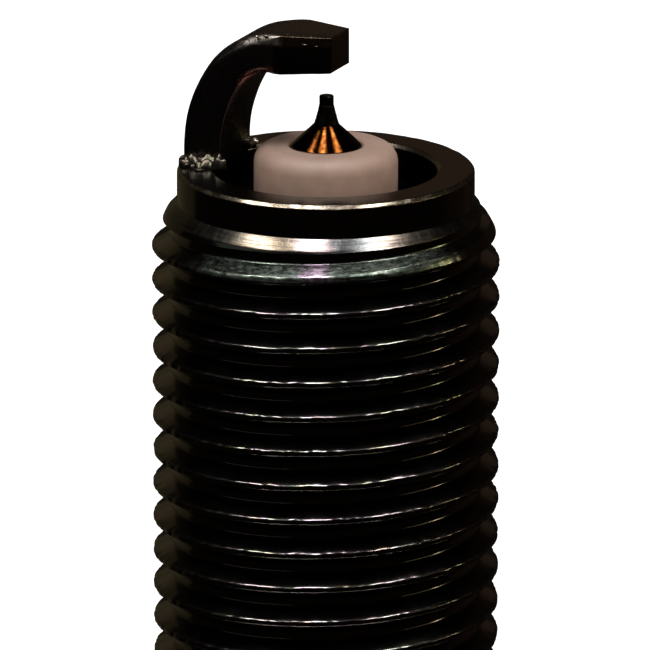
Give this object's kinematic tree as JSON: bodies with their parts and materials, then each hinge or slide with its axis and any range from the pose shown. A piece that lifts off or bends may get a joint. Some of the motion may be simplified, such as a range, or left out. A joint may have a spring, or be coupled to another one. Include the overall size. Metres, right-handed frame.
{
  "type": "spark plug",
  "caption": "Long-reach spark plug with a fine threaded shell, hexagon, ribbed insulator, removable terminal nut, fine-wire centre electrode and bent ground electrode.",
  "frame": {"origin": "centre of the shell's gasket seat, on the plug's axis", "axes": "+Z along the axis towards the firing end; the ground electrode stands on the -X side and reaches over the axis towards +X; two hexagon flats are square to X"},
  "size_m": [0.016, 0.0182, 0.0675],
  "materials": {
    "shell_plating": "dark glossy nickel plating",
    "strap_alloy": "dark nickel alloy, smooth",
    "weld_metal": "fused metal, bright ripples",
    "gasket_steel": "bright zinc plated sheet",
    "alumina": "white glaze, nose fired pinkish beige",
    "packing_steel": "soft steel",
    "wire_steel": "soft steel wire",
    "talc": "pressed powder",
    "electrode_alloy": "dark nickel alloy",
    "copper": "copper",
    "iridium": "dark fine wire",
    "laser_weld": "fused metal",
    "glass_seal": "conductive glass, opaque",
    "resistor_mix": "carbon and ceramic, matte",
    "stud_steel": "nickel plated steel",
    "nut_plating": "bright nickel plating"
  },
  "bodies": {
    "plug": {"metal_shell": "shell_plating", "ground_electrode": "strap_alloy", "ground_weld_bead": "weld_metal", "insulator": "alumina", "seat_packing": "packing_steel", "lower_wire_ring": "wire_steel", "talc_fill": "talc", "upper_wire_ring": "wire_steel", "center_electrode": "electrode_alloy", "electrode_copper_core": "copper", "iridium_tip": "iridium", "tip_weld": "laser_weld", "lower_glass_seal": "glass_seal", "resistor": "resistor_mix", "upper_glass_seal": "glass_seal", "terminal_stud": "stud_steel"},
    "gasket": {"crush_gasket": "gasket_steel"},
    "nut": {"terminal_nut": "nut_plating"}
  },
  "joints": [
    {"name": "gasket_play", "type": "slide", "parent": "plug", "child": "gasket", "axis": [0, 0, 1], "range_m": [0, 0.0009]},
    {"name": "nut_removal", "type": "slide", "parent": "plug", "child": "nut", "axis": [0, 0, -1], "range_m": [0, 0.009]}
  ]
}
